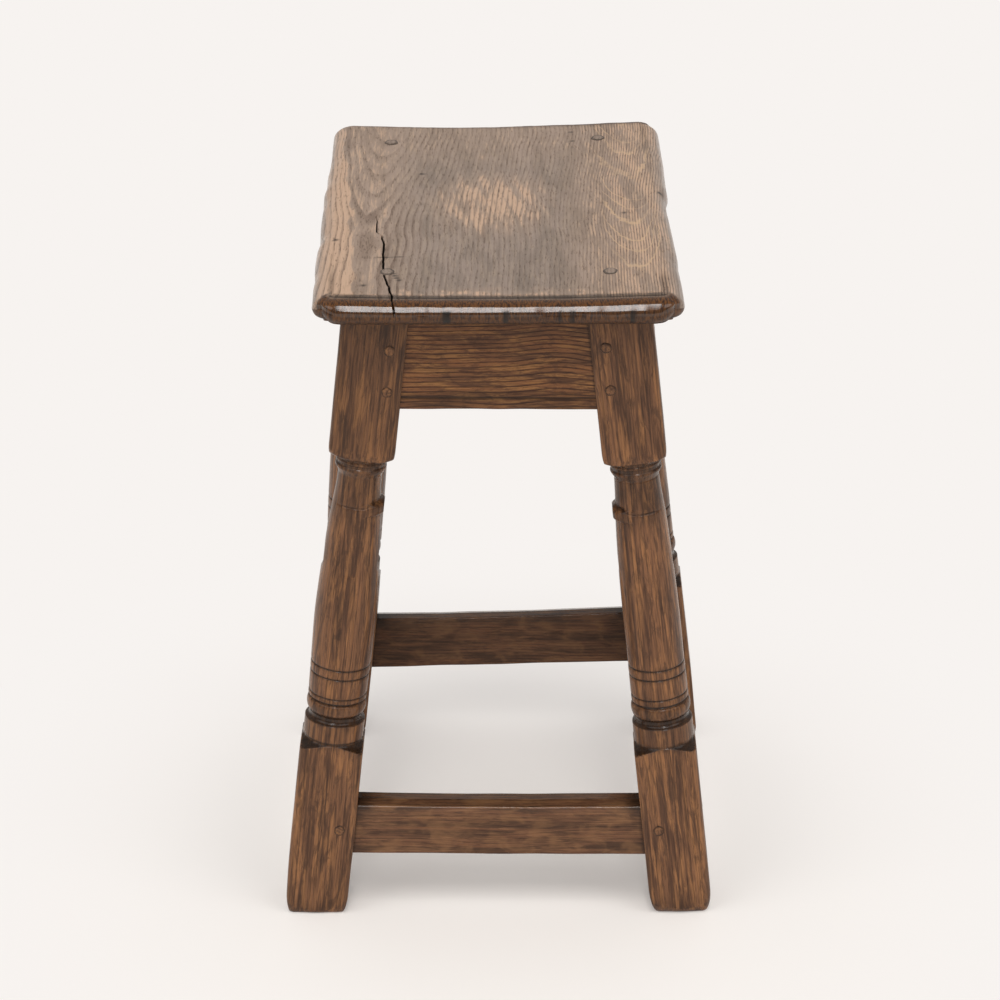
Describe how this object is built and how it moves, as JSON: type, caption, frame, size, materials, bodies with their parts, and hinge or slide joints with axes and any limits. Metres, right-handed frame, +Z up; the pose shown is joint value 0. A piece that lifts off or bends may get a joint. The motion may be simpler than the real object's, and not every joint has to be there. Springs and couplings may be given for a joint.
{
  "type": "joint stool",
  "caption": "Joined oak stool: a moulded oblong board pegged onto splayed turned legs, with rails under the board and low stretchers held by pegged tenons.",
  "frame": {"origin": "on the floor under the middle of the board", "axes": "+Z up, +Y along the length of the board towards the rear, +X along its short side to the right, with the front at -Y"},
  "size_m": [0.3494, 0.466, 0.55],
  "materials": {
    "oak_board": "worn wax polish",
    "oak_frame": "dark wax polish",
    "oak_peg": "dark wax polish"
  },
  "bodies": {
    "root": {"seat_board": "oak_board", "seat_pegs": "oak_peg", "front_left_leg": "oak_frame", "front_right_leg": "oak_frame", "rear_left_leg": "oak_frame", "rear_right_leg": "oak_frame", "front_rail": "oak_frame", "rear_rail": "oak_frame", "left_rail": "oak_frame", "right_rail": "oak_frame", "front_stretcher": "oak_frame", "rear_stretcher": "oak_frame", "left_stretcher": "oak_frame", "right_stretcher": "oak_frame", "front_rail_pegs": "oak_peg", "rear_rail_pegs": "oak_peg", "left_rail_pegs": "oak_peg", "right_rail_pegs": "oak_peg", "front_stretcher_pegs": "oak_peg", "rear_stretcher_pegs": "oak_peg", "left_stretcher_pegs": "oak_peg", "right_stretcher_pegs": "oak_peg"}
  },
  "joints": []
}
